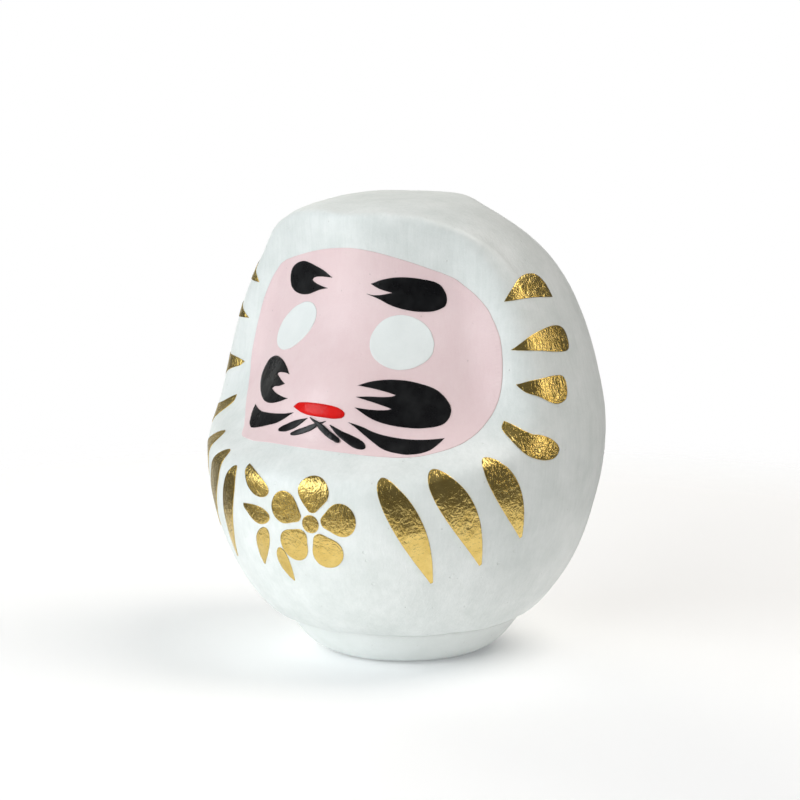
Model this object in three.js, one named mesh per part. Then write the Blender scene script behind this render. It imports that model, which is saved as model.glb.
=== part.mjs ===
// Daruma doll: a hollow papier-mache shell standing on a clay foot weight, with painted and
// gilded marks laid on it as thin films. Millimetres, +Z up, face towards -Y, origin at the
// centre of the foot's flat underside. Angles are degrees round the doll, 0 at the front,
// positive towards +X.
import * as THREE from "three";
import { TessellateModifier } from "three/addons/modifiers/TessellateModifier.js";
import { mergeVertices } from "three/addons/utils/BufferGeometryUtils.js";

// ---- Shell: overall sizes -------------------------------------------------------------
const HEIGHT = 102.9; // crown above the table
const HALF_WIDTH = 44.9; // at the widest ring
const BACK_DEPTH = 46.5; // axis to the roundest point of the back
const BELLY_DEPTH = 44.7; // axis to the roundest point of the belly
const SHELL_WALL = 1.8; // thickness of the pasted paper
const HOOD_LEAN = 3.8; // how far the hood leans forward over the face
const CROWN_BACKSET = 6; // how far the crown point lies behind the axis

// ---- Foot ------------------------------------------------------------------------------
const FOOT_HEIGHT = 8.3; // visible height of the foot below the body
const FOOT_RADIUS = 26.6; // at the top of the foot, under the body
const FOOT_FLAT_RADIUS = 16; // flat face it rests on
const FOOT_RIM_ROUND = 0.6; // softened upper rim of the foot
const FOOT_TURN_UP = [0.52, 0.026]; // the bowl starts up here: share of its spread and height
const FOOT_FLARE = [0.72, 0.45]; // and bends outward here
const NECK_OVERHANG = 0.5; // the body stands out past the foot by this much
const JOINT_GAP = 0.3; // glue line between shell and foot
const OPENING_RADIUS = 20; // hole in the underside of the shell
const PLUG_CLEARANCE = 0.4; // between the hole and the weight that plugs it
const MOUND_HEIGHT = 8.6; // clay mound above the shell's opening

// ---- Films -----------------------------------------------------------------------------
const FILM_GAP = 0.5; // air left under every film
const FILM_THICKNESS = 0.3; // paint or foil
const FILM_EDGE = 3.2; // longest triangle edge on a small film
const CHEST_EDGE = 2.5; // on a chest stroke, which starts on the ridge under the face
const PANEL_EDGE = 5; // and on the broad face panel

// ---- Setting out -------------------------------------------------------------------------
// Heights of rings, stations and marks are written as on a doll this tall with a foot this
// high; depths of the face and widths of the marks as on a belly this deep and sides this far
// out. These carry them to the sizes above.
const SET_OUT_HEIGHT = 102.9;
const SET_OUT_FOOT = 8.3;
const SET_OUT_BELLY = 44.7;
const SET_OUT_HALF_WIDTH = 44.9;
const STRETCH = (HEIGHT - FOOT_HEIGHT) / (SET_OUT_HEIGHT - SET_OUT_FOOT);
const level = (height) => FOOT_HEIGHT + (height - SET_OUT_FOOT) * STRETCH;
const setOutHeight = (z) => SET_OUT_FOOT + (z - FOOT_HEIGHT) / STRETCH;

const WIDEST_Z = level(49.5); // the widest ring at the sides
const BACK_Z = level(54.5); // the roundest point of the back
const BELLY_Z = level(41); // the roundest point of the belly
const HOOD_LEAN_Z = level(98.4); // where the hood leans the most
const HOOD_LEAN_SPREAD = 8.5 * STRETCH; // height over which the lean fades
const LIP_Z = FOOT_HEIGHT + JOINT_GAP; // underside of the shell

// How each profile closes in: exponents of the curve above the widest ring and below it.
const SIDE_CURVE = { above: [1.56, 3.2], below: [1.87, 1.4] };
const BACK_CURVE = { above: [1.6, 2.55], below: [1.75, 1.5] };
const BELLY_CURVE = { above: [2.2, 3.1], below: [1.95, 1.5] };

// ---- Surface ---------------------------------------------------------------------------
const RAD = Math.PI / 180;

// A smooth function of height through a few stations [set-out height, value], constant
// beyond its ends.
function along(stations) {
  const spline = new THREE.CubicInterpolant(
    stations.map(([z]) => z),
    stations.map(([, value]) => value),
    1,
    new Float64Array(1),
  );
  const first = stations[0];
  const last = stations[stations.length - 1];
  return (z) => {
    const height = setOutHeight(z);
    if (height <= first[0]) return first[1];
    if (height >= last[0]) return last[1];
    return spline.evaluate(height)[0];
  };
}

// The face is a soft upright wedge cut into the front: how far it stands from the axis in
// the middle, and how fast it falls back sideways.
const setOutFaceDepth = along([
  [39, 60],
  [43, 52],
  [46.5, 45],
  [49.5, 40],
  [52.5, 37.2],
  [56, 36.2],
  [60, 35.6],
  [65, 33],
  [70, 29],
  [76, 25.4],
  [84, 23.4],
  [92, 23.6],
  [101, 24.4],
]);
const faceDepth = (z) => (setOutFaceDepth(z) * BELLY_DEPTH) / SET_OUT_BELLY;
const faceSlope = along([
  [44, 0.35],
  [50, 0.5],
  [56, 0.72],
  [62, 0.86],
  [68, 0.78],
  [74, 0.62],
  [84, 0.57],
  [101, 0.58],
]);
const NOSE_ROUND = 10; // rounding of the wedge's upright middle line
const CHEEK_HOLLOW_ANGLE = 60; // the cheek is hollow up to here
const TEMPLE_ANGLE = 80; // and from here on the side of the body is full
const BACK_COSINE = -0.3; // behind this cosine of the angle there is no face at all
const WEDGE_ROUNDS = 20; // rounds of solving for the wedge
const edgeRound = along([
  [46, 5],
  [56, 3.5],
  [80, 2.4],
  [96, 1.4],
]);

// Radius of one profile at a height: swelling from the crown to its widest, then in again.
function profile(z, widest, widestZ, { above, below }) {
  if (z >= widestZ) {
    const t = Math.min((z - widestZ) / (HEIGHT - widestZ), 1);
    return widest * Math.pow(1 - Math.pow(t, above[0]), 1 / above[1]);
  }
  const s = Math.min((widestZ - z) / (widestZ - FOOT_HEIGHT), 1);
  const swell = Math.pow(1 - Math.pow(s, below[0]), 1 / below[1]);
  const neck = FOOT_RADIUS + NECK_OVERHANG;
  return neck + (widest - neck) * swell;
}

// Where the middle of the ring at this height lies, forward or back of the axis.
function ringCentre(z) {
  const t = THREE.MathUtils.clamp((z - HOOD_LEAN_Z) / (HEIGHT - HOOD_LEAN_Z), 0, 1);
  const lean = HOOD_LEAN * Math.exp(-Math.pow((z - HOOD_LEAN_Z) / HOOD_LEAN_SPREAD, 2));
  return -lean * (1 - t * t) + CROWN_BACKSET * t * t * t;
}

// Distance of the outer surface from the ring's centre.
function radiusAt(angle, z) {
  const c = Math.cos(angle);
  const s = Math.sin(angle);
  const side = profile(z, HALF_WIDTH, WIDEST_Z, SIDE_CURVE);
  const back = profile(z, BACK_DEPTH, BACK_Z, BACK_CURVE);
  const belly = profile(z, BELLY_DEPTH, BELLY_Z, BELLY_CURVE);
  const deep = c > 0 ? belly : back;
  const round = 1 / Math.hypot(s / Math.max(side, 1e-6), c / Math.max(deep, 1e-6));
  if (c < BACK_COSINE) return round;
  const depth = faceDepth(z) + ringCentre(z);
  // the wedge: depth = r cos + slope * (hypot(r sin, nose) - nose), solved for r
  const slope = faceSlope(z);
  let wedge = depth;
  for (let i = 0; i < WEDGE_ROUNDS; i++) {
    const set = Math.hypot(wedge * s, NOSE_ROUND) - NOSE_ROUND;
    const reach = c * wedge + slope * set;
    wedge *= Math.sqrt(depth / Math.max(reach, 1));
  }
  wedge = Math.min(wedge, 2 * round);
  const cheek = Math.abs(THREE.MathUtils.euclideanModulo(angle / RAD + 180, 360) - 180);
  wedge = THREE.MathUtils.lerp(
    wedge,
    round + edgeRound(z),
    THREE.MathUtils.smoothstep(cheek, CHEEK_HOLLOW_ANGLE, TEMPLE_ANGLE),
  );
  const soft = edgeRound(z);
  const mix = THREE.MathUtils.clamp(0.5 + (0.5 * (round - wedge)) / soft, 0, 1);
  return round * (1 - mix) + wedge * mix - soft * mix * (1 - mix);
}

function onSurface(angle, z) {
  const r = radiusAt(angle, z);
  return new THREE.Vector3(r * Math.sin(angle), ringCentre(z) - r * Math.cos(angle), z);
}

// A point of the surface moved out along its normal, which is found from nearby points.
const NEARBY_TURN = 0.01; // radians to either side
const NEARBY_RISE = 0.25; // up and down
const CROWN_RISE = 0.02; // up and down, where the crown is this close
const CROWN_ZONE = 0.6;

function surfacePoint(angle, z, out = 0) {
  const at = onSurface(angle, z);
  if (out === 0) return at;
  const rise = z > HEIGHT - CROWN_ZONE ? CROWN_RISE : NEARBY_RISE;
  const up = onSurface(angle, Math.min(z + rise, HEIGHT)).sub(onSurface(angle, z - rise));
  const round = onSurface(angle + NEARBY_TURN, z).sub(onSurface(angle - NEARBY_TURN, z));
  const normal = round.cross(up);
  if (normal.length() < 1e-9) normal.set(0, 0, 1);
  return at.addScaledVector(normal.normalize(), out);
}

// ---- Films: how an outline on the surface becomes a thin solid --------------------------
// An outline is a list of runs of [angle, set-out height]: smooth inside a run, a corner
// where two runs meet. The last run closes on the first point.
const STROKE_STEPS = 7; // points along each side of a brush stroke
const OVAL_POINTS = 14;
const SPLIT_ROUNDS = 12; // rounds of halving long triangle edges

// A brush stroke from its thin start to its round end: the width is in millimetres, fullest
// says how far along it is widest, and bow bends the middle sideways.
function stroke(start, end, width, { fullest = 0.6, bow = 0, blunt = 0.1 } = {}) {
  const scale = setOutDegree([(start[0] + end[0]) / 2, (start[1] + end[1]) / 2]);
  const from = new THREE.Vector2(start[0] * scale, start[1]);
  const to = new THREE.Vector2(end[0] * scale, end[1]);
  const run = to.clone().sub(from);
  const across = new THREE.Vector2(-run.y, run.x).normalize();
  const edge = (side) => (t) => {
    const rising = blunt + (1 - blunt) * Math.sin((Math.PI / 2) * Math.min(t / fullest, 1));
    const past = Math.max(t - fullest, 0) / (1 - fullest);
    const closing = Math.sqrt(Math.max(1 - past * past, 0));
    const half = (width / 2) * rising * closing;
    const p = from.clone().addScaledVector(run, t);
    p.addScaledVector(across, bow * Math.sin(Math.PI * t) + side * half);
    return [p.x / scale, p.y];
  };
  const left = [];
  const right = [];
  for (let i = 0; i < STROKE_STEPS; i++) {
    const t = Math.sin((Math.PI / 2) * (i / STROKE_STEPS));
    left.push(edge(1)(t));
    right.unshift(edge(-1)(t));
  }
  return [[...left, end, ...right]];
}

function oval(centre, width, height, lean = 0) {
  const scale = setOutDegree(centre);
  const ring = [];
  for (let i = 0; i < OVAL_POINTS; i++) {
    const turn = (i / OVAL_POINTS) * 2 * Math.PI;
    const rise = (height / 2) * Math.sin(turn);
    const side = (width / 2) * Math.cos(turn) + lean * rise;
    ring.push([centre[0] + side / scale, centre[1] + rise]);
  }
  return [[...ring, ring[0]]];
}

// Length of one degree round the doll at a place.
function degreeLength([angle, height]) {
  return radiusAt(angle * RAD, level(height)) * RAD;
}

// The same on the set-out doll, so that a mark's width follows the doll's girth.
function setOutDegree([angle, height]) {
  const side = (SET_OUT_HALF_WIDTH / HALF_WIDTH) * Math.sin(angle * RAD);
  const front = (SET_OUT_BELLY / BELLY_DEPTH) * Math.cos(angle * RAD);
  return degreeLength([angle, height]) * Math.hypot(side, front);
}

function closed(geometry) {
  const bare = geometry.clone();
  bare.deleteAttribute("normal");
  bare.deleteAttribute("uv");
  return mergeVertices(bare, 1e-4);
}

// Wraps an outline onto the surface as a film. One in layer 1 lies over one in layer 0.
function film(outline, layer = 0, edge = FILM_EDGE) {
  const all = outline.flat();
  const angles = all.map(([angle]) => angle);
  const heights = all.map(([, height]) => height);
  const middle = [
    (Math.min(...angles) + Math.max(...angles)) / 2,
    (Math.min(...heights) + Math.max(...heights)) / 2,
  ];
  const scale = degreeLength(middle);
  const flat = ([angle, height]) => new THREE.Vector2((angle - middle[0]) * scale, height);
  const shape = new THREE.Shape();
  const first = flat(outline[0][0]);
  shape.moveTo(first.x, first.y);
  outline.forEach((run, i) => {
    const points = run.map(flat);
    const rest = i === 0 ? points.slice(1) : points;
    if (rest.length === 1) shape.lineTo(rest[0].x, rest[0].y);
    else shape.splineThru(rest);
  });
  const plate = new THREE.ExtrudeGeometry(shape, {
    depth: FILM_THICKNESS,
    bevelEnabled: false,
    curveSegments: 2,
  });
  const fine = new TessellateModifier(edge, SPLIT_ROUNDS).modify(plate);
  const position = fine.getAttribute("position");
  const floor = FILM_GAP + layer * (FILM_GAP + FILM_THICKNESS);
  for (let i = 0; i < position.count; i++) {
    const angle = (middle[0] + position.getX(i) / scale) * RAD;
    const p = surfacePoint(angle, level(position.getY(i)), floor + position.getZ(i));
    position.setXYZ(i, p.x, p.y, p.z);
  }
  return fine;
}

// ---- Materials -------------------------------------------------------------------------
const finish = (color, roughness, metalness = 0) =>
  new THREE.MeshStandardMaterial({ color, roughness, metalness });

const paperWhite = finish("#dfe5e3", 0.75);
const clayWhite = finish("#d5dad7", 0.8);
const facePink = finish("#ecd6d6", 0.6);
const eyeWhite = finish("#eef2f0", 0.55);
const lacquerBlack = finish("#131316", 0.3);
const lacquerRed = finish("#d8211c", 0.3);
const goldFoil = finish("#c9a24a", 0.2, 1);

const doll = new THREE.Group();

function addPiece(name, geometry, material) {
  const mesh = new THREE.Mesh(closed(geometry), material);
  mesh.name = name;
  doll.add(mesh);
}

// ---- Paper shell -----------------------------------------------------------------------
const RINGS = [
  9.4, 11.5, 15, 20, 26, 32, 37.5, 41.5, 44.2, 46.2, 48, 50, 52.5, 56, 60, 64, 68, 72.5, 77.5, 83,
  88.5, 93, 96.2, 98.5, 100, 101.1, 101.9, 102.5,
]; // set-out heights, closer together where the surface turns sharply
const SEGMENTS = 72;
const FOOT_SEGMENTS = 48;
const BOWL_STEPS = 6;
const MOUND_STEPS = 5;
const INNER_CROWN_CLEAR = 0.7; // the inner face has no ring nearer its crown than this

// A ring-by-ring skin: the outer face from the foot to the crown, the inner face, and the
// flat lip round the opening underneath.
function paperShell() {
  const outer = [LIP_Z, ...RINGS.map(level)];
  const floor = LIP_Z + SHELL_WALL;
  const ceiling = HEIGHT - SHELL_WALL;
  const everyOther = outer.filter((z, i) => i % 2 === 0);
  const inner = everyOther.filter((z) => z > floor && z < ceiling - INNER_CROWN_CLEAR);
  const rows = [
    { z: ceiling, pole: true },
    ...inner.reverse().map((z) => ({ z, out: -SHELL_WALL })),
    { z: floor, rim: OPENING_RADIUS },
    { z: LIP_Z, rim: OPENING_RADIUS },
    ...outer.map((z) => ({ z, out: 0 })),
    { z: HEIGHT, pole: true },
  ];
  const lathe = new THREE.LatheGeometry(
    rows.map((row, i) => new THREE.Vector2(row.pole ? 0 : 1, i)),
    SEGMENTS,
  );
  const position = lathe.getAttribute("position");
  for (let k = 0; k <= SEGMENTS; k++) {
    const angle = ((k % SEGMENTS) / SEGMENTS) * 2 * Math.PI;
    rows.forEach((row, i) => {
      let p = new THREE.Vector3(0, ringCentre(HEIGHT), row.z);
      if (row.rim) p.set(row.rim * Math.sin(angle), -row.rim * Math.cos(angle), row.z);
      else if (!row.pole) p = surfacePoint(angle, row.z, row.out);
      position.setXYZ(k * rows.length + i, p.x, p.y, p.z);
    });
  }
  return lathe;
}

addPiece("paper_shell", paperShell(), paperWhite);

// ---- Foot weight: a clay bowl under the body, its mound plugging the shell's opening ----
function footWeight() {
  const plugRadius = OPENING_RADIUS - PLUG_CLEARANCE;
  const wallTop = FOOT_HEIGHT - FOOT_RIM_ROUND;
  const handle = ([spread, height]) =>
    new THREE.Vector2(
      THREE.MathUtils.lerp(FOOT_FLAT_RADIUS, FOOT_RADIUS, spread),
      height * wallTop,
    );
  const bowl = new THREE.CubicBezierCurve(
    new THREE.Vector2(FOOT_FLAT_RADIUS, 0),
    handle(FOOT_TURN_UP),
    handle(FOOT_FLARE),
    new THREE.Vector2(FOOT_RADIUS, wallTop),
  );
  const moundFoot = LIP_Z + SHELL_WALL;
  const mound = new THREE.EllipseCurve(0, moundFoot, plugRadius, MOUND_HEIGHT, 0, Math.PI / 2);
  const points = [
    new THREE.Vector2(0, 0),
    ...bowl.getPoints(BOWL_STEPS),
    new THREE.Vector2(FOOT_RADIUS - FOOT_RIM_ROUND, FOOT_HEIGHT),
    new THREE.Vector2(plugRadius, FOOT_HEIGHT),
    ...mound.getPoints(MOUND_STEPS),
  ];
  points[points.length - 1].x = 0;
  return new THREE.LatheGeometry(points, FOOT_SEGMENTS).rotateX(Math.PI / 2);
}

addPiece("foot_weight", footWeight(), clayWhite);

// ---- Face ------------------------------------------------------------------------------
const facePanel = [
  [
    [-35, 50.4], [-28, 50.2], [-17, 50.6], [-3, 51], [8, 50.8], [22, 50.2], [34.5, 50.2],
    [45.5, 51.5], [54, 53.5], [62, 57.5], [66, 62.5], [67.5, 70], [67, 77], [64.5, 82.5],
    [58, 86.4], [48, 88.6], [30, 91], [10, 92.6], [-4, 92.6], [-18, 91.9], [-31, 90.9],
    [-47, 89.3], [-57.5, 87.5], [-62.5, 84.5], [-64.2, 80], [-64.5, 75], [-64.8, 69.5],
    [-64, 64.2], [-61, 60], [-55.5, 57.2], [-49, 54.9], [-41, 52.2],
  ],
  [[-35, 50.4]],
];
addPiece("face_panel", film(facePanel, 0, PANEL_EDGE), facePink);

addPiece("eye_left", film(oval([31.4, 73], 13.6, 11.4), 1), eyeWhite);
addPiece("eye_right", film(oval([-33.6, 74.4], 12.6, 11.2, 0.5), 1), eyeWhite);

const browLeft = [
  [
    [14.8, 85.2], [20, 86], [28, 86.7], [36, 86.8], [45, 86.3], [50.5, 85.4], [53, 83],
    [52, 80.7], [47, 79.7], [41, 79.4], [33, 79.8], [25, 80.9], [18, 82.2], [12.3, 83],
  ],
  [[17, 82.8], [22, 83.1], [26.5, 83.4], [22, 83.9], [18, 84.4], [14.8, 85.2]],
];
const browRight = [
  [
    [-10, 86], [-18, 87.4], [-28, 88.3], [-36.3, 88.7], [-43.5, 88], [-47.8, 86.4], [-48.6, 84.3],
    [-46.6, 82.4], [-40.6, 81.4], [-32.2, 81.4], [-25, 82.2], [-18.5, 83], [-12.9, 83.5],
  ],
  [[-17.5, 83.8], [-22, 84.1], [-26.9, 84.8], [-24, 85.6], [-18.5, 85.9], [-10, 86]],
];
addPiece("brow_left", film(browLeft, 1), lacquerBlack);
addPiece("brow_right", film(browRight, 1), lacquerBlack);

const whiskerLeft = [
  [
    [14.6, 64.4], [19, 65.1], [25, 65.5], [32, 65.4], [38, 64.9], [44, 63.8], [47.4, 62.4],
    [49.9, 60], [49.2, 57.9], [46, 56.3], [40, 55.7], [34, 55.7], [27, 56.4], [21, 57.6], [14.5, 59.9],
  ],
  [[20, 59.5], [24, 59.4], [27.8, 59.6], [24, 60.3], [19, 61.2], [14.4, 62]],
  [[20, 62.1], [25, 62], [29.4, 62.4], [25, 63.1], [20, 63.8], [14.6, 64.4]],
];
const whiskerRight = [
  [
    [-21, 64.9], [-26.7, 66.1], [-35.2, 67.1], [-44.3, 67.1], [-50, 65.4], [-51.3, 62.6],
    [-46.5, 60], [-39, 58.3], [-31, 58], [-22.8, 58.9], [-15.7, 60.2],
  ],
  [[-21, 60.2], [-26.5, 60.3], [-32.5, 60.9], [-29, 61.5], [-26, 61.9], [-21.5, 62.8]],
  [[-26.5, 63.3], [-32.4, 64.1], [-30, 64.5], [-26, 64.9], [-21, 64.9]],
];
addPiece("whisker_left", film(whiskerLeft, 1), lacquerBlack);
addPiece("whisker_right", film(whiskerRight, 1), lacquerBlack);

const jawLeft = [
  [
    [12.5, 57], [17, 56.1], [22, 54.9], [28, 53.9], [34, 53.4], [40, 53.3], [46.3, 53.6],
  ],
  [
    [44, 52.5], [40, 51.2], [34.5, 50.6], [28.5, 50.9], [24, 51.9], [20, 53.7], [16, 55.5],
    [12.5, 57],
  ],
];
const jawRight = [
  [[-10, 57.9], [-17.4, 56.9], [-28.2, 56.1], [-35.7, 55.8], [-43.4, 56.6]],
  [[-42, 54.8], [-38, 52.6]],
  [[-34.5, 52.1], [-30.5, 52.5], [-24, 53.7], [-17, 55.3], [-10, 57.9]],
];
addPiece("jaw_left", film(jawLeft, 1), lacquerBlack);
addPiece("jaw_right", film(jawRight, 1), lacquerBlack);

// The left inner stroke crosses over the right one.
const beardStrokes = [
  ["beard_outer_left", 1, stroke([6.5, 56.1], [19.8, 51.5], 2, { fullest: 0.7, bow: -0.3 })],
  ["beard_outer_right", 1, stroke([-2.5, 57.2], [-16.6, 53.3], 1.7, { fullest: 0.65, bow: 0.2 })],
  ["beard_inner_left", 2, stroke([-1.2, 57.6], [10.7, 52.4], 1.5, { fullest: 0.72 })],
  ["beard_inner_right", 1, stroke([4.9, 57], [-9.4, 53.1], 1.3, { fullest: 0.7, bow: 0.2 })],
];
for (const [name, layer, shape] of beardStrokes) {
  addPiece(name, film(shape, layer), lacquerBlack);
}

const mouth = [
  [
    [-10.6, 59], [-8, 60], [-3, 60.4], [4, 60.3], [9, 59.7], [11.2, 58.7], [10, 57.8], [5, 57.7],
    [-1, 58], [-6, 58.3],
  ],
  [[-10.6, 59]],
];
addPiece("mouth", film(mouth, 1), lacquerRed);

// ---- Gold strokes down both sides of the face --------------------------------------------
const sideStrokesLeft = [
  [
    [
      [69.7, 82.2], [71.7, 83.9], [75, 85.5], [79.7, 86.9], [84.5, 87.4], [89.5, 87],
      [92.3, 85.4], [93.2, 82],
    ],
    [[85, 82.3], [77, 82.6], [69.7, 82.2]],
  ],
  [
    [
      [69.1, 72.1], [71.8, 73.7], [75, 74.9], [80, 75.8], [85.4, 76.3], [90, 76.1],
      [92.9, 75], [93.5, 73], [92.4, 71],
    ],
    [[90, 70.6], [84, 71], [77.9, 71.7], [69.1, 72.1]],
  ],
  [
    [
      [69.2, 64.9], [73, 65.8], [77.8, 65.9], [82.7, 66.1], [85.6, 65.8], [86.8, 64.6],
      [86.7, 62.4], [85.4, 60.7], [81.5, 60.1], [77.7, 61.1], [73.6, 62.6], [70.5, 63.7],
    ],
    [[69.2, 64.9]],
  ],
  [
    [
      [65.1, 57.3], [66.6, 56.7], [70.2, 54.9], [73.5, 54.3], [77, 53.3], [79.5, 52],
      [80.8, 50.5], [79.8, 49.2], [77.4, 48.6], [73.7, 48.8], [69.3, 50], [66.6, 51.7],
      [64.8, 53.8], [64, 55.8],
    ],
    [[65.1, 57.3]],
  ],
];
// The right-hand strokes start nearer the face and sit a little higher or lower.
const SIDE_SHIFT = [2.6, 1.8, 3.4, 2.6]; // degrees towards the front
const SIDE_LIFT = [0, 1.9, -0.7, -0.4]; // millimetres
const shifted = (stroke, turn, lift) =>
  stroke.map((run) => run.map(([angle, height]) => [-angle + turn, height + lift]));
sideStrokesLeft.forEach((shape, i) => {
  const right = shifted(shape, SIDE_SHIFT[i], SIDE_LIFT[i]);
  addPiece(`side_stroke_left_${i + 1}`, film(shape), goldFoil);
  addPiece(`side_stroke_right_${i + 1}`, film(right), goldFoil);
});

// ---- Gold strokes across the chest -------------------------------------------------------
const chestStrokes = {
  chest_stroke_left_1: stroke([41.3, 23], [26.3, 46.7], 6.3, { fullest: 0.6, bow: -0.7 }),
  chest_stroke_left_2: stroke([56.3, 26.6], [40.2, 48.3], 6.9, { fullest: 0.64, bow: -0.9 }),
  chest_stroke_left_3: stroke([68.9, 31.9], [55.6, 50.5], 6.2, { fullest: 0.62, bow: -0.9 }),
  chest_stroke_right_1: stroke([-33, 24], [-23.3, 45.8], 5.2, { fullest: 0.62, bow: 0.8 }),
  chest_stroke_right_2: stroke([-47, 29], [-32.3, 47.9], 6, { fullest: 0.62, bow: 0.8 }),
  chest_stroke_right_3: stroke([-60, 33], [-46.3, 50.3], 6, { fullest: 0.62, bow: 0.8 }),
};
for (const [name, shape] of Object.entries(chestStrokes)) {
  addPiece(name, film(shape, 0, CHEST_EDGE), goldFoil);
}

// ---- Belly ornament: a five-petalled blossom with three leaves and a bud ------------------
const BLOSSOM_CENTRE = [6, 36];
const BLOSSOM_TURN = 0.12; // radians off upright
const PETALS = 5;
const PETAL_LENGTH = 8;
const PETAL_WIDTH = 7.4;
const BLOSSOM_EYE = 4; // width of the round middle
const PETAL_START = 2.6; // petals begin this far from the centre
const bellyDegree = setOutDegree(BLOSSOM_CENTRE);
const fromBlossom = (turn, reach) => [
  BLOSSOM_CENTRE[0] + (reach * Math.sin(turn)) / bellyDegree,
  BLOSSOM_CENTRE[1] + reach * Math.cos(turn),
];
for (let i = 0; i < PETALS; i++) {
  const turn = (i / PETALS) * 2 * Math.PI + BLOSSOM_TURN;
  const petal = stroke(
    fromBlossom(turn, PETAL_START),
    fromBlossom(turn, PETAL_START + PETAL_LENGTH),
    PETAL_WIDTH,
    { fullest: 0.58, blunt: 0.12 },
  );
  addPiece(`blossom_petal_${i + 1}`, film(petal), goldFoil);
}
addPiece("blossom_eye", film(oval(BLOSSOM_CENTRE, BLOSSOM_EYE, BLOSSOM_EYE)), goldFoil);
const ornament = {
  ornament_leaf_1: stroke([-18.5, 46.6], [-8, 41.4], 4.6, { fullest: 0.6, bow: -0.8 }),
  ornament_leaf_2: stroke([-19, 38], [-8, 36], 4, { fullest: 0.6, bow: -0.6 }),
  ornament_leaf_3: stroke([-15, 24.6], [-10, 33.6], 4, { fullest: 0.6, bow: 0.5 }),
  ornament_leaf_4: stroke([-3.4, 22], [-6, 29.6], 3.4, { fullest: 0.6, bow: 0.4 }),
};
for (const [name, shape] of Object.entries(ornament)) {
  addPiece(name, film(shape), goldFoil);
}

export default doll;
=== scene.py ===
import math

import bpy
import numpy as np
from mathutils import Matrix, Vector
from mathutils.bvhtree import BVHTree
from mathutils.geometry import delaunay_2d_cdt


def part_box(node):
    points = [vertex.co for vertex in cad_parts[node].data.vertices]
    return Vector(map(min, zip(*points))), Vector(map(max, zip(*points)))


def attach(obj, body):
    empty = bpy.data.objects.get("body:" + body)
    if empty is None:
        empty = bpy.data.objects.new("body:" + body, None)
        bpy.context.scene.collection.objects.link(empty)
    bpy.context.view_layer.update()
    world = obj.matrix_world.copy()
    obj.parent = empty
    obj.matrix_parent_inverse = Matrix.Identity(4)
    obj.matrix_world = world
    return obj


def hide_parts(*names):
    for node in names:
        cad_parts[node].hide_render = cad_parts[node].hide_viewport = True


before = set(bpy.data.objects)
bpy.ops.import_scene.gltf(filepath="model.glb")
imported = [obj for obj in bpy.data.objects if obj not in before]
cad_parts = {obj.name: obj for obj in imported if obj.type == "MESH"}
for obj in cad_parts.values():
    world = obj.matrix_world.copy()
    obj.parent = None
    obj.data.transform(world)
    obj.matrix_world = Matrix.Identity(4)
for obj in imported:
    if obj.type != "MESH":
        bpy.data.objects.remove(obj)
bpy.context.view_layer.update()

MM = 0.001  # the doll's sizes are in millimetres and turned to metres where they are used

# ---- Camera: three-quarter view from the doll's own left, a little above --------------
VIEW_TURN = 33  # degrees round from straight in front
VIEW_RISE = 10  # degrees above level
VIEW_DISTANCE = 0.6
VIEW_HEIGHT = 0.05  # height of the point looked at
LENS = 119.6
SENSOR_WIDTH = 36
SHIFT = (-0.00625, 0.03375)
NEAREST_SEEN = 0.01


def direction(turn, rise):
    """Unit vector away from the doll: turn 0 is straight in front, positive to its own left."""
    a, e = math.radians(turn), math.radians(rise)
    return Vector((math.sin(a) * math.cos(e), -math.cos(a) * math.cos(e), math.sin(e)))


def place_camera():
    camera = bpy.data.objects.new("camera", bpy.data.cameras.new("camera"))
    bpy.context.scene.collection.objects.link(camera)
    back = direction(VIEW_TURN, VIEW_RISE)
    camera.location = Vector((0, 0, VIEW_HEIGHT)) + back * VIEW_DISTANCE
    camera.rotation_euler = back.to_track_quat("Z", "Y").to_euler()
    camera.data.lens = LENS
    camera.data.sensor_width = SENSOR_WIDTH
    camera.data.shift_x, camera.data.shift_y = SHIFT
    camera.data.clip_start = NEAREST_SEEN
    bpy.context.scene.camera = camera


# ---- Materials --------------------------------------------------------------------------
CHALK_IOR = 1.47
SPECK_COLOUR = "#8f8c84"
SPOT_CELL = 3.2  # a cell that may hold a dot is this many dots wide
SPOT_EDGE = (0.08, 0.2)  # a dot fades out between these distances, in cells


def linear(code):
    """sRGB hex to linear RGBA."""
    parts = [int(code[i : i + 2], 16) / 255 for i in (1, 3, 5)]
    return (*[c / 12.92 if c <= 0.04045 else ((c + 0.055) / 1.055) ** 2.4 for c in parts], 1)


def add(tree, kind, inputs=None, **settings):
    """One node with its settings, and each named or numbered input set or linked."""
    made = tree.nodes.new(kind)
    for key, value in settings.items():
        setattr(made, key, value)
    for key, value in (inputs or {}).items():
        if isinstance(value, bpy.types.NodeSocket):
            tree.links.new(value, made.inputs[key])
        else:
            made.inputs[key].default_value = value
    return made


def material(name):
    made = bpy.data.materials.new(name)
    made.use_nodes = True
    made.node_tree.nodes.clear()
    return made, made.node_tree


def ranged(tree, value, low, high, start=0.0, end=1.0, **settings):
    """Value carried from the range low to high over to the range start to end."""
    return add(
        tree,
        "ShaderNodeMapRange",
        {0: value, 1: low, 2: high, 3: start, 4: end},
        **settings,
    ).outputs[0]


def blended(tree, share, first, second):
    """First colour where share is 0, second where it is 1."""
    return add(
        tree, "ShaderNodeMix", {0: share, 6: first, 7: second}, data_type="RGBA"
    ).outputs[2]


def math_node(tree, operation, first, second):
    return add(
        tree, "ShaderNodeMath", {0: first, 1: second}, operation=operation
    ).outputs[0]


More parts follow.
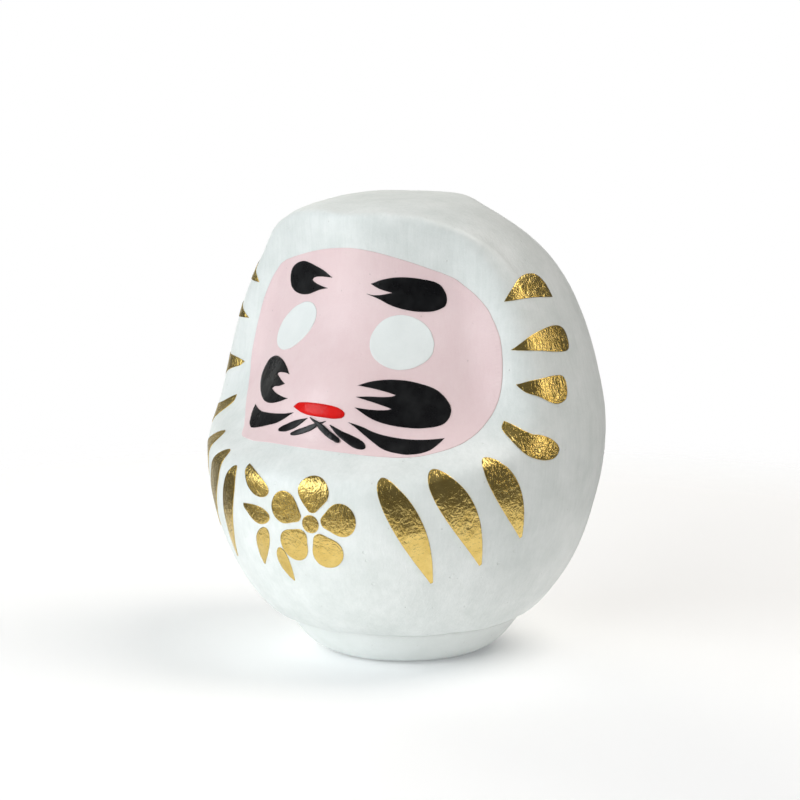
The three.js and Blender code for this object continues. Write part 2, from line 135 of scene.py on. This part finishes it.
def spots(tree, where, size, share):
    """1 in scattered dots about size millimetres wide, 0 between; share of the cells hold one."""
    cells = add(
        tree, "ShaderNodeTexVoronoi", {"Vector": where, "Scale": 1 / (size * SPOT_CELL * MM)}
    )
    chosen = add(
        tree, "ShaderNodeSeparateColor", {0: cells.outputs["Color"]}, mode="RGB"
    )
    near = ranged(
        tree,
        cells.outputs["Distance"],
        *SPOT_EDGE,
        start=1.0,
        end=0.0,
        interpolation_type="SMOOTHSTEP",
    )
    picked = math_node(tree, "LESS_THAN", chosen.outputs[0], share)
    return math_node(tree, "MULTIPLY", near, picked)


def noise(tree, where, size, detail, roughness, distortion=0.0):
    """Soft noise whose lumps are about size millimetres across."""
    return add(
        tree,
        "ShaderNodeTexNoise",
        {
            "Vector": where,
            "Scale": 1 / (size * MM),
            "Detail": detail,
            "Roughness": roughness,
            "Distortion": distortion,
        },
    ).outputs[0]


def stretched(tree, where, scale):
    """Coordinates that make a pattern longer along each axis whose scale is under 1."""
    return add(tree, "ShaderNodeMapping", {"Vector": where, "Scale": scale}).outputs[0]


def weighed(tree, *terms):
    """Sum of (socket, weight) pairs."""
    total = None
    for socket, weight in terms:
        part = math_node(tree, "MULTIPLY", socket, weight)
        total = part if total is None else math_node(tree, "ADD", total, part)
    return total


def surfaced(tree, height, inputs):
    """Ends a material: a principled shader over a bump whose height is in millimetres."""
    bump = add(tree, "ShaderNodeBump", {"Strength": 1.0, "Distance": MM, "Height": height})
    shader = add(tree, "ShaderNodeBsdfPrincipled", {"Normal": bump.outputs[0], **inputs})
    add(tree, "ShaderNodeOutputMaterial", {0: shader.outputs[0]})


def brush_paint(name, light, dark, roughness, streak=1.0, pit=1.0):
    """Chalky paint brushed over pasted paper: cloudy tone, upright brush marks, pits and grit."""
    made, tree = material(name)
    where = add(tree, "ShaderNodeTexCoord").outputs["Object"]
    upright = stretched(tree, where, (1, 1, 0.09))
    clouds = noise(tree, where, 9, 4, 0.6)
    marks = noise(tree, upright, 0.9, 3, 0.6, 0.4)
    grit = noise(tree, where, 0.45, 2, 0.7)
    pits = spots(tree, where, 0.7, 0.05)
    specks = spots(tree, stretched(tree, where, (1.3, 1.3, 1.1)), 0.45, 0.05)
    tone = weighed(tree, (clouds, 0.75), (marks, 0.3 * streak), (grit, 0.15))
    share = ranged(tree, tone, 0.36 + 0.1 * streak, 0.75 + 0.1 * streak)
    colour = blended(tree, share, linear(dark), linear(light))
    dotted = blended(tree, weighed(tree, (specks, 0.22)), colour, linear(SPECK_COLOUR))
    height = weighed(
        tree, (marks, 0.07 * streak), (grit, 0.03), (pits, -0.1 * pit), (specks, 0.06 * pit)
    )
    gloss = ranged(tree, clouds, 0.3, 0.7, roughness + 0.07, roughness - 0.07)
    surfaced(tree, height, {"Base Color": dotted, "Roughness": gloss, "IOR": CHALK_IOR})
    return made


def lacquer(name, deep, thin, roughness, ior):
    """Glossy brush lacquer: level where it is thick, greyer and duller where the brush ran dry."""
    made, tree = material(name)
    where = add(tree, "ShaderNodeTexCoord").outputs["Object"]
    pools = noise(tree, where, 3.5, 3, 0.6)
    ripples = noise(tree, where, 1.1, 2, 0.5)
    lumps = spots(tree, where, 0.6, 0.07)
    colour = blended(tree, ranged(tree, pools, 0.45, 0.8), linear(deep), linear(thin))
    gloss = ranged(tree, pools, 0.3, 0.7, roughness - 0.05, roughness + 0.12)
    height = weighed(tree, (ripples, 0.05), (pools, 0.08), (lumps, 0.06))
    surfaced(tree, height, {"Base Color": colour, "Roughness": gloss, "IOR": ior})
    return made


def hot_stamped_foil():
    """Gold foil pressed on: a mirror with the paper's fine upright crinkle showing through it."""
    made, tree = material("gold_foil")
    where = add(tree, "ShaderNodeTexCoord").outputs["Object"]
    upright = stretched(tree, where, (1, 1, 0.25))
    crinkle = noise(tree, upright, 0.55, 3, 0.6, 0.8)
    creases = noise(tree, where, 1.6, 3, 0.6, 1.2)
    waves = noise(tree, where, 6, 2, 0.5)
    wear = noise(tree, where, 2.4, 4, 0.65)
    worn = ranged(tree, wear, 0.4, 0.75)
    colour = blended(tree, worn, linear("#e8cb7c"), linear("#d9b862"))
    gloss = ranged(tree, wear, 0.35, 0.75, 0.12, 0.22)
    height = weighed(tree, (crinkle, 0.13), (creases, 0.16), (waves, 0.15))
    surfaced(tree, height, {"Base Color": colour, "Metallic": 1.0, "Roughness": gloss})
    return made


# ---- Modelling help ---------------------------------------------------------------------
def only(piece):
    """Makes piece the only selected object, and active."""
    bpy.ops.object.select_all(action="DESELECT")
    piece.select_set(True)
    bpy.context.view_layer.objects.active = piece


def finish_piece(piece, finish, node_name):
    """Gives the piece its material and smooth shading, hangs it under the root, and hides the CAD
    node it stands for.
    """
    piece.data.materials.clear()
    piece.data.materials.append(finish)
    only(piece)
    bpy.ops.object.shade_smooth()
    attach(piece, "root")
    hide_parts(node_name)


def modified(piece, kind, **settings):
    """Adds one modifier and applies it."""
    only(piece)
    modifier = piece.modifiers.new(kind.lower(), kind)
    for key, value in settings.items():
        setattr(modifier, key, value)
    bpy.ops.object.modifier_apply(modifier=modifier.name)


def lumpy(piece, name, size, height, depth):
    """Pushes the surface in and out by up to height millimetres, in lumps size across."""
    texture = bpy.data.textures.new(name, "CLOUDS")
    texture.noise_scale = size * MM
    texture.noise_depth = depth
    modified(
        piece,
        "DISPLACE",
        texture=texture,
        texture_coords="LOCAL",
        strength=2 * height * MM,
        mid_level=0.5,
    )


# ---- Paper body -------------------------------------------------------------------------
# (degrees, height) along the hood's front edge, from its middle out to the temple
HOOD_EDGE = [(0, 99.8), (20, 100.1), (40, 99.3), (60, 96), (70, 93), (75, 89), (77, 85)]
HOOD_LIP = 0.32  # how far the paper stands up along that edge
HOOD_LIP_WIDTH = 1.2
OUTSIDE = 90  # a line towards the axis starts this far out, clear of the doll


def outer_point(tree, angle, height):
    """Place and normal where a level line towards the axis meets the tree's surface."""
    out = Vector((math.sin(angle), -math.cos(angle), 0))
    return tree.ray_cast(out * (OUTSIDE * MM) + Vector((0, 0, height * MM)), -out)[:2]


def raise_hood_lip(body):
    """The layers of paper overlap along the hood's edge and leave a narrow lip."""
    tree = BVHTree.FromObject(body, bpy.context.evaluated_depsgraph_get())
    angles, heights = zip(*HOOD_EDGE)
    line = []
    for angle in range(-angles[-1], angles[-1] + 1):
        height = np.interp(abs(angle), angles, heights)
        line.append(outer_point(tree, math.radians(angle), height)[0])
    mesh = body.data
    count = len(mesh.vertices)
    place, normal = np.zeros(count * 3), np.zeros(count * 3)
    mesh.vertices.foreach_get("co", place)
    mesh.vertices.foreach_get("normal", normal)
    place, normal = place.reshape(-1, 3), normal.reshape(-1, 3)
    near = np.full(count, np.inf)
    for point in np.array(line):
        near = np.minimum(near, np.linalg.norm(place - point, axis=1))
    lift = HOOD_LIP * MM * np.exp(-((near / (HOOD_LIP_WIDTH * MM)) ** 2))
    mesh.vertices.foreach_set("co", (place + normal * lift[:, None]).ravel())
    mesh.update()


SAME_PLACE = 1e-6  # vertices closer than this (metres) are one
QUAD_SLACK = math.radians(60)  # how far two triangles may fold or skew and still make a quad


def paper_surface(name, fineness):
    """The hollow shell, its facets smoothed out and left as uneven as hand-pasted paper is."""
    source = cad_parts["paper_shell"]
    body = bpy.data.objects.new(name, source.data.copy())
    bpy.context.scene.collection.objects.link(body)
    only(body)
    bpy.ops.object.mode_set(mode="EDIT")
    bpy.ops.mesh.select_all(action="SELECT")
    bpy.ops.mesh.remove_doubles(threshold=SAME_PLACE)
    bpy.ops.mesh.tris_convert_to_quads(face_threshold=QUAD_SLACK, shape_threshold=QUAD_SLACK)
    bpy.ops.object.mode_set(mode="OBJECT")
    modified(body, "SUBSURF", levels=fineness, render_levels=fineness)
    raise_hood_lip(body)
    lumpy(body, "moulded_lumps", 22, 0.35, 1)
    lumpy(body, "pasted_paper", 6, 0.12, 2)
    return body


# ---- Foot weight ------------------------------------------------------------------------
# (radius, height) from the middle of the flat, up the bowl, over the rim and up the mound
FOOT_PROFILE = [
    (0, 0), (8, 0), (14.6, 0), (16.2, 0.05), (18.4, 0.4), (20.7, 1.5), (22.7, 3.2), (24.4, 5.2),
    (25.7, 7), (26.5, 8.1), (26.3, 8.6), (25.2, 8.7), (22, 8.7), (19.6, 8.7), (19.6, 10.6),
    (18.9, 13), (17, 15.2), (13, 17.4), (7, 18.7), (0, 19),
]
FOOT_SIDES = 96


def foot_bowl(finish):
    """Dried clay bowl: its profile turned round the upright, then left a little uneven."""
    mesh = bpy.data.meshes.new("clay_foot")
    line = [(radius * MM, 0, height * MM) for radius, height in FOOT_PROFILE]
    mesh.from_pydata(line, [(i, i + 1) for i in range(len(line) - 1)], [])
    foot = bpy.data.objects.new("clay_foot", mesh)
    bpy.context.scene.collection.objects.link(foot)
    only(foot)
    bpy.ops.object.mode_set(mode="EDIT")
    bpy.ops.mesh.select_all(action="SELECT")
    bpy.ops.mesh.spin(
        steps=FOOT_SIDES, angle=math.tau, center=(0, 0, 0), axis=(0, 0, 1), use_auto_merge=True
    )
    bpy.ops.mesh.select_all(action="SELECT")
    bpy.ops.mesh.remove_doubles(threshold=SAME_PLACE)
    bpy.ops.mesh.normals_make_consistent(inside=False)
    bpy.ops.object.mode_set(mode="OBJECT")
    modified(foot, "SUBSURF", levels=1, render_levels=1)
    lumpy(foot, "clay_lumps", 14, 0.12, 1)
    finish_piece(foot, finish, "foot_weight")


# ---- Painted and gilded films -----------------------------------------------------------
CORNER = math.radians(55)  # an outline that turns more than this keeps its corner
OUTLINE_STEP = 0.22  # spacing of points along an outline
GRID_STEP = 0.5  # spacing of points inside it
ROW_RISE = 0.866  # height of one row of that grid, as a share of its step
GRID_CLEAR = 0.4  # the grid keeps this share of its step from the rows along the edge
ROW_CLEAR = 0.93  # a row's points are dropped where they come nearer the edge than this share
INNER_ROW = 0.35  # the first row lies this far across the film's rounded rim
SETTLE = 1  # rounds of evening out the height under a film
OUTLINE_SLACK = 0.04  # bends smaller than this are left out of an outline
FILM_LIFT = 0.09  # a film's edge stands this far off what it lies on
FILM_DEPTH = 0.2  # from a film's outer face down to its back, sunk into the paper
LEAST_RADIUS = 26  # films are unrolled as if they lay at least this far from the axis
POINT_MERGE = 1e-5
TINY = 1e-9  # keeps a division from failing


def surface_tree(fineness):
    """The body's surface, split finely enough that films laid on it come out smooth."""
    finer = paper_surface("finer_body", fineness)
    tree = BVHTree.FromObject(finer, bpy.context.evaluated_depsgraph_get())
    bpy.data.objects.remove(finer)
    return tree


def cap_outline(node, tree):
    """Outline of a CAD film's outer face laid back on the body: rows of angle and height."""
    index, points = {}, []
    merged = []
    for vertex in node.data.vertices:
        key = tuple(round(c / MM, 3) for c in vertex.co)
        if key not in index:
            index[key] = len(points)
            points.append(vertex.co.copy())
        merged.append(index[key])
    normals = [Vector() for _ in points]
    faces = [[merged[v] for v in face.vertices] for face in node.data.polygons]
    for a, b, c in faces:
        across = (points[b] - points[a]).cross(points[c] - points[a])
        for i in (a, b, c):
            normals[i] += across
    laid = [tree.find_nearest(p) for p in points]
    outer = [n.dot(hit[1]) > 0 for n, hit in zip(normals, laid)]
    edges = set()
    for face in faces:
        if all(outer[i] for i in face):
            edges.update(zip(face, face[1:] + face[:1]))
    following = {a: b for a, b in edges if (b, a) not in edges}
    start = next(iter(following))
    loop, at = [start], following[start]
    while at != start:
        loop.append(at)
        at = following[at]
    if len(loop) != len(following):
        raise ValueError(f"{node.name}: the outline isn't one closed line")
    places = [laid[i][0] / MM for i in loop]
    return np.array([(math.atan2(place.x, -place.y), place.z) for place in places])


def bends(line):
    """Which points of an open line stay when bends under OUTLINE_SLACK are left out."""
    if len(line) < 3:
        return list(range(len(line)))
    chord = line[-1] - line[0]
    length = max(np.linalg.norm(chord), TINY)
    offset = line - line[0]
    if length > OUTLINE_SLACK:
        off = np.abs(offset[:, 0] * chord[1] - offset[:, 1] * chord[0]) / length
    else:
        off = np.linalg.norm(offset, axis=1)
    far = int(off.argmax())
    if off[far] < OUTLINE_SLACK:
        return [0, len(line) - 1]
    return bends(line[: far + 1])[:-1] + [far + k for k in bends(line[far:])]


def smooth_outline(flat):
    """Points every OUTLINE_STEP along a curve through the flat points, sharp only at corners."""
    first = int(np.linalg.norm(flat - flat.mean(0), axis=1).argmax())
    flat = np.roll(flat, -first, 0)
    flat = flat[bends(np.concatenate([flat, flat[:1]]))[:-1]]
    count = len(flat)
    ahead = np.roll(flat, -1, 0) - flat
    far_ahead = np.linalg.norm(ahead, axis=1)[:, None]
    behind, far_behind = np.roll(ahead, 1, 0), np.roll(far_ahead, 1, 0)
    turn = np.arctan2(
        behind[:, 0] * ahead[:, 1] - behind[:, 1] * ahead[:, 0], (behind * ahead).sum(1)
    )
    corner = np.abs(turn) > CORNER
    tangent = behind / far_behind * far_ahead + ahead / far_ahead * far_behind
    tangent /= np.linalg.norm(tangent, axis=1)[:, None]
    out = []
    for i in range(count):
        j = (i + 1) % count
        chord, length = ahead[i], far_ahead[i]
        leave = chord if corner[i] else tangent[i] * length
        arrive = chord if corner[j] else tangent[j] * length
        steps = max(int(round(length[0] / OUTLINE_STEP)), 1)
        for k in range(steps):
            t = k / steps
            out.append(
                flat[i] * (2 * t**3 - 3 * t**2 + 1)
                + leave * (t**3 - 2 * t**2 + t)
                + flat[j] * (-2 * t**3 + 3 * t**2)
                + arrive * (t**3 - t**2)
            )
    return np.array(out)


def edge_distance(points, loop):
    """Distance of each point from the closed outline, and whether it lies inside."""
    a, b = loop, np.roll(loop, -1, 0)
    run = b - a
    near = np.full(len(points), np.inf)
    inside = np.zeros(len(points), bool)
    for p0, p1, d in zip(a, b, run):
        offset = points - p0
        t = np.clip((offset @ d) / max(d @ d, 1e-12), 0, 1)
        near = np.minimum(near, np.linalg.norm(offset - t[:, None] * d, axis=1))
        crosses = (p0[1] > points[:, 1]) != (p1[1] > points[:, 1])
        if abs(d[1]) > 1e-12:
            at = p0[0] + (points[:, 1] - p0[1]) / d[1] * d[0]
            inside ^= crosses & (points[:, 0] < at)
    return near, inside


def filled(loop, rims):
    """Triangles that fill the outline: rows of points just inside the edge, an even grid within."""
    rows = [loop]
    ahead = np.roll(loop, -1, 0) - np.roll(loop, 1, 0)
    inward = np.stack([-ahead[:, 1], ahead[:, 0]], 1)
    inward /= np.maximum(np.linalg.norm(inward, axis=1), TINY)[:, None]
    area = (loop[:, 0] * np.roll(loop[:, 1], -1) - loop[:, 1] * np.roll(loop[:, 0], -1)).sum()
    inward *= 1 if area > 0 else -1
    for rim in rims:
        row = loop + inward * rim
        near, inside = edge_distance(row, loop)
        rows.append(row[inside & (near > ROW_CLEAR * rim)])
    low, high = loop.min(0), loop.max(0)
    grid = []
    for j, v in enumerate(np.arange(low[1], high[1], GRID_STEP * ROW_RISE)):
        shift = GRID_STEP / 2 * (j % 2)
        grid += [(u, v) for u in np.arange(low[0] + shift, high[0], GRID_STEP)]
    grid = np.array(grid)
    near, inside = edge_distance(grid, loop)
    rows.append(grid[inside & (near > rims[-1] + GRID_CLEAR * GRID_STEP)])
    points = np.concatenate(rows)
    ring = [(i, (i + 1) % len(loop)) for i in range(len(loop))]
    corners, _, faces, _, _, _ = delaunay_2d_cdt(
        [Vector(p) for p in points], ring, [], 0, POINT_MERGE, False
    )
    points = np.array([tuple(p) for p in corners])
    _, inside = edge_distance(points[np.array(faces)].mean(1), loop)
    faces = np.array(faces)[inside]
    used, faces = np.unique(faces, return_inverse=True)
    return points[used], [tuple(int(i) for i in f) for f in faces.reshape(-1, 3)]


def beneath(tree, angle, height, faces):
    """Distance from the axis (mm) and normal of the body at each point, evened out a little."""
    count = len(angle)
    both = np.zeros((count, 4))
    for i, (a, z) in enumerate(zip(angle, height)):
        hit, normal = outer_point(tree, a, z)
        both[i] = (Vector((hit.x, hit.y)).length / MM, *normal)
    pairs = np.array([(a, b) for f in faces for a, b in zip(f, f[1:] + f[:1])])
    pairs = np.concatenate([pairs, pairs[:, ::-1]])
    weight = np.bincount(pairs[:, 0], minlength=count)[:, None]
    for _ in range(SETTLE):
        total = np.zeros_like(both)
        np.add.at(total, pairs[:, 0], both[pairs[:, 1]])
        both = 0.5 * both + 0.5 * total / np.maximum(weight, 1)
    normals = both[:, 1:]
    return both[:, 0], normals / np.linalg.norm(normals, axis=1)[:, None]


def film(name, node_name, tree, finish, thickness, rim=0.3, under=0.0):
    """Lays one film on the body: under is the thickness of the film already there."""
    outline = cap_outline(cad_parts[node_name], tree)
    middle = outline[:, 0].mean()
    aside = outline[:, 0] - middle
    turn = middle + np.arctan2(np.sin(aside), np.cos(aside))
    low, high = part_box(node_name)
    radius = math.hypot((low.x + high.x) / 2, (low.y + high.y) / 2) / MM
    radius = max(radius, LEAST_RADIUS)
    loop = smooth_outline(np.stack([turn * radius, outline[:, 1]], 1))
    points, faces = filled(loop, [INNER_ROW * rim, rim])
    angle, height = points[:, 0] / radius, points[:, 1]
    distance, normals = beneath(tree, angle, height, faces)
    near, _ = edge_distance(points, loop)
    round_off = np.sqrt(np.clip(1 - (1 - np.clip(near / rim, 0, 1)) ** 2, 0, 1))
    lift = under + FILM_LIFT + (thickness - FILM_LIFT) * round_off
    base = np.stack([distance * np.sin(angle), -distance * np.cos(angle), height], 1)
    placed = (base + normals * lift[:, None]) * MM
    mesh = bpy.data.meshes.new(name)
    mesh.from_pydata([tuple(p) for p in placed], [], faces)
    piece = bpy.data.objects.new(name, mesh)
    bpy.context.scene.collection.objects.link(piece)
    facing = sum(Vector(normals[f.vertices[0]]).dot(f.normal) for f in mesh.polygons)
    if facing < 0:
        mesh.flip_normals()
    modified(piece, "SOLIDIFY", thickness=FILM_DEPTH * MM, offset=-1, use_even_offset=False)
    finish_piece(piece, finish, node_name)


# ---- Light and floor --------------------------------------------------------------------
LIGHT_DISTANCE = 0.9


def soft_light(name, turn, rise, size, power, colour):
    light = bpy.data.lights.new(name, "AREA")
    light.shape = "RECTANGLE"
    light.size, light.size_y = size
    light.energy = power
    light.color = linear(colour)[:3]
    made = bpy.data.objects.new(name, light)
    bpy.context.scene.collection.objects.link(made)
    away = direction(turn, rise)
    made.location = Vector((0, 0, VIEW_HEIGHT)) + away * LIGHT_DISTANCE
    made.rotation_euler = away.to_track_quat("Z", "Y").to_euler()
    made.visible_camera = False
    return made


ROOM_LOW = 0.13  # the room's brightness near the ground
ROOM_HIGH = 0.25  # and overhead
FLOOR_RADIUS = 0.4
FLOOR_SIDES = 128
FLOOR_DROP = 0.0001  # keeps the floor just clear of the foot
TABLE_RADIUS = 230  # the table top fades out round here
TABLE_FADE = 45  # this far to either side
MIRRORED_TABLE = 0.48  # share of it that shows in shiny surfaces, past which the room is dark
TABLE_GLOW = 0.12


def floor():
    """Pale table top round the doll that fades out into the open."""
    bpy.ops.object.select_all(action="DESELECT")
    bpy.ops.mesh.primitive_circle_add(
        vertices=FLOOR_SIDES, radius=FLOOR_RADIUS, fill_type="NGON", location=(0, 0, -FLOOR_DROP)
    )
    made = bpy.context.object
    made.name = "floor"
    pale, tree = material("pale_table")
    where = add(tree, "ShaderNodeTexCoord").outputs["Object"]
    away = add(tree, "ShaderNodeVectorMath", {0: where}, operation="LENGTH").outputs["Value"]
    mirrored = add(tree, "ShaderNodeLightPath").outputs["Is Glossy Ray"]
    farther = ranged(tree, mirrored, 0, 1, 1.0, 1 / MIRRORED_TABLE)
    gone = ranged(
        tree,
        math_node(tree, "MULTIPLY", away, farther),
        (TABLE_RADIUS - TABLE_FADE) * MM,
        (TABLE_RADIUS + TABLE_FADE) * MM,
        interpolation_type="SMOOTHSTEP",
    )
    top = add(
        tree,
        "ShaderNodeBsdfPrincipled",
        {
            "Base Color": linear("#fafafa"),
            "Roughness": 0.9,
            "Emission Color": linear("#f8fbff"),
            "Emission Strength": TABLE_GLOW,
        },
    )
    open_air = add(tree, "ShaderNodeBsdfTransparent")
    fading = add(
        tree, "ShaderNodeMixShader", {0: gone, 1: top.outputs[0], 2: open_air.outputs[0]}
    )
    add(tree, "ShaderNodeOutputMaterial", {0: fading.outputs[0]})
    made.data.materials.append(pale)


def room():
    """Dim room all round, a little paler overhead; past the table the camera sees plain white."""
    world = bpy.data.worlds.new("room")
    bpy.context.scene.world = world
    world.use_nodes = True
    tree = world.node_tree
    tree.nodes.clear()
    where = add(tree, "ShaderNodeTexCoord").outputs["Generated"]
    rise = add(tree, "ShaderNodeSeparateXYZ", {0: where}).outputs[2]
    shade = ranged(tree, rise, 0.3, 0.8, ROOM_LOW, ROOM_HIGH)
    dim = add(tree, "ShaderNodeBackground", {0: linear("#f4f6f8"), 1: shade})
    white = add(tree, "ShaderNodeBackground", {0: (1, 1, 1, 1), 1: 1.0})
    seen = add(tree, "ShaderNodeLightPath").outputs["Is Camera Ray"]
    either = add(
        tree, "ShaderNodeMixShader", {0: seen, 1: dim.outputs[0], 2: white.outputs[0]}
    )
    add(tree, "ShaderNodeOutputWorld", {0: either.outputs[0]})


# ---- The doll ---------------------------------------------------------------------------
place_camera()
floor()
room()
soft_light("window", -36, 18, (0.65, 0.55), 3.6, "#f4faff")
soft_light("front_fill", 0, 18, (0.55, 0.55), 3.25, "#fbffff").visible_glossy = False
soft_light("far_fill", -120, 18, (0.55, 0.55), 3.8, "#fffaf0").visible_glossy = False
soft_light("back_fill", 120, 58, (0.55, 0.55), 4.3, "#fffaf5")
# long cards that only the foil and the lacquer mirror
soft_light("strip", 112, 12, (0.15, 0.6), 1.2, "#fff6e4").visible_diffuse = False
soft_light("far_card", -138, 0, (0.9, 0.8), 1.3, "#f4f6ee").visible_diffuse = False
soft_light("sill_card", -36, -8, (0.8, 0.34), 0.5, "#fffbe8").visible_diffuse = False
bpy.context.scene.view_settings.view_transform = "Standard"

# shell-chalk white: almost matt, faintly cool
chalk = brush_paint("shell_chalk_white", "#f1f4f2", "#dde2df", 0.45)
clay_chalk = brush_paint("shell_chalk_on_clay", "#eef1ef", "#e2e6e3", 0.55, streak=0.3)
# pale pink body colour: the same chalk with a little red in it
pink = brush_paint("pink_chalk_paint", "#f0dada", "#e9cfd0", 0.45, streak=0.7, pit=0.6)
# bare white of the eyes: a second, smoother coat
eye_white = brush_paint("white_eye_paint", "#f3f6f4", "#e9edeb", 0.4, streak=0.3, pit=0.6)
# soot-black lacquer: deep black, wet-looking
black = lacquer("black_lacquer", "#09090b", "#1b1c1d", 0.27, ior=1.42)
# vermilion lacquer: opaque red, wet-looking
red = lacquer("vermilion_lacquer", "#dc1512", "#c8100e", 0.2, ior=1.33)
gold = hot_stamped_foil()

BODY_FINENESS = 2  # rounds of smoothing
SURFACE_FINENESS = 3
finish_piece(paper_surface("paper_body", BODY_FINENESS), chalk, "paper_shell")
foot_bowl(clay_chalk)
surface = surface_tree(SURFACE_FINENESS)

# thickness of each film, and where it isn't the usual one, the width of its rounded rim
PINK_THICKNESS = 0.12
EYE_THICKNESS = 0.11
BLACK_THICKNESS = 0.18
MOUTH_THICKNESS = 0.25
MOUTH_RIM = 0.8
FOIL_THICKNESS = 0.13
FOIL_RIM = 0.2

film("face_panel_paint", "face_panel", surface, pink, PINK_THICKNESS)
for side in ("left", "right"):
    film(
        f"eye_{side}_paint",
        f"eye_{side}",
        surface,
        eye_white,
        EYE_THICKNESS,
        under=PINK_THICKNESS,
    )
    for mark in ("brow", "whisker", "jaw", "beard_outer", "beard_inner"):
        crossing = (side, mark) == ("left", "beard_inner")
        film(
            f"{mark}_{side}_lacquer",
            f"{mark}_{side}",
            surface,
            black,
            BLACK_THICKNESS,
            under=PINK_THICKNESS + (BLACK_THICKNESS if crossing else 0),
        )
film(
    "mouth_lacquer",
    "mouth",
    surface,
    red,
    MOUTH_THICKNESS,
    rim=MOUTH_RIM,
    under=PINK_THICKNESS,
)
for node_name in sorted(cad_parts):
    if node_name.startswith(("side_stroke", "chest_stroke", "blossom", "ornament")):
        film(
            f"{node_name}_foil",
            node_name,
            surface,
            gold,
            FOIL_THICKNESS,
            rim=FOIL_RIM,
        )
